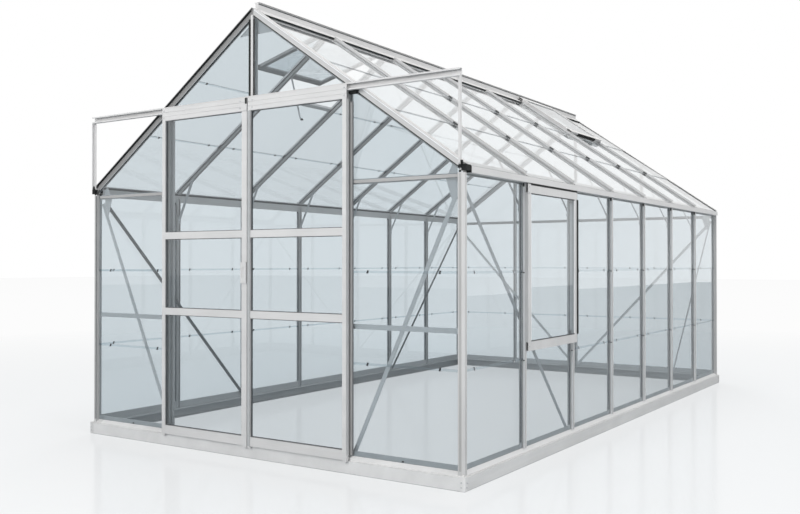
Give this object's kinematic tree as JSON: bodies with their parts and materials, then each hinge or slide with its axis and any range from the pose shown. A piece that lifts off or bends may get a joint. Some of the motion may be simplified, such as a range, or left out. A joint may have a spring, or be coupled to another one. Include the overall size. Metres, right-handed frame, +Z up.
{
  "type": "greenhouse",
  "caption": "Aluminium greenhouse with lapped glass panes, a pitched roof with two vents, a side window, gutters and a pair of sliding front doors.",
  "frame": {"origin": "middle of the footprint, on the ground", "axes": "+X to the right of the front gable, +Y from the door gable to the back gable, +Z up"},
  "size_m": [2.582, 4.474, 2.4008],
  "materials": {
    "frame_aluminium": "satin mill finish",
    "stay_aluminium": "satin mill finish",
    "base_aluminium": "satin mill finish",
    "clear_glass": "clear horticultural glass",
    "black_plastic": "moulded black"
  },
  "bodies": {
    "house": {"base_frame": "base_aluminium", "sill_frame": "base_aluminium", "corner_posts": "frame_aluminium", "left_wall_bars": "frame_aluminium", "right_wall_bars": "frame_aluminium", "left_gutter": "frame_aluminium", "right_gutter": "frame_aluminium", "gutter_end_caps": "black_plastic", "left_roof_bars": "frame_aluminium", "right_roof_bars": "frame_aluminium", "front_rafters": "frame_aluminium", "back_rafters": "frame_aluminium", "ridge_front": "frame_aluminium", "ridge_rear": "frame_aluminium", "front_gable_bars": "frame_aluminium", "front_gable_rails": "frame_aluminium", "back_gable_bars": "frame_aluminium", "back_gable_rails": "frame_aluminium", "side_wall_braces": "stay_aluminium", "gable_braces": "stay_aluminium", "knee_stays": "stay_aluminium", "gusset_plates": "stay_aluminium", "left_wall_glass": "clear_glass", "right_wall_glass": "clear_glass", "left_roof_glass": "clear_glass", "right_roof_glass": "clear_glass", "front_gable_glass": "clear_glass", "back_gable_glass": "clear_glass", "door_track": "frame_aluminium", "track_brackets": "frame_aluminium", "side_window_frame": "frame_aluminium", "side_window_glass": "clear_glass", "side_window_rails": "frame_aluminium", "roof_vent_frames": "frame_aluminium", "roof_vent_glass": "clear_glass", "vent_sills": "frame_aluminium", "vent_stays": "stay_aluminium"},
    "left_door": {"left_door_frame": "frame_aluminium", "left_door_glass": "clear_glass", "left_door_rollers": "black_plastic", "left_door_handle": "frame_aluminium"},
    "right_door": {"right_door_frame": "frame_aluminium", "right_door_glass": "clear_glass", "right_door_rollers": "black_plastic"}
  },
  "joints": [
    {"name": "left_door_slide", "type": "slide", "parent": "house", "child": "left_door", "axis": [-1, 0, 0], "range_m": [0, 0.6]},
    {"name": "right_door_slide", "type": "slide", "parent": "house", "child": "right_door", "axis": [1, 0, 0], "range_m": [0, 0.6]}
  ]
}
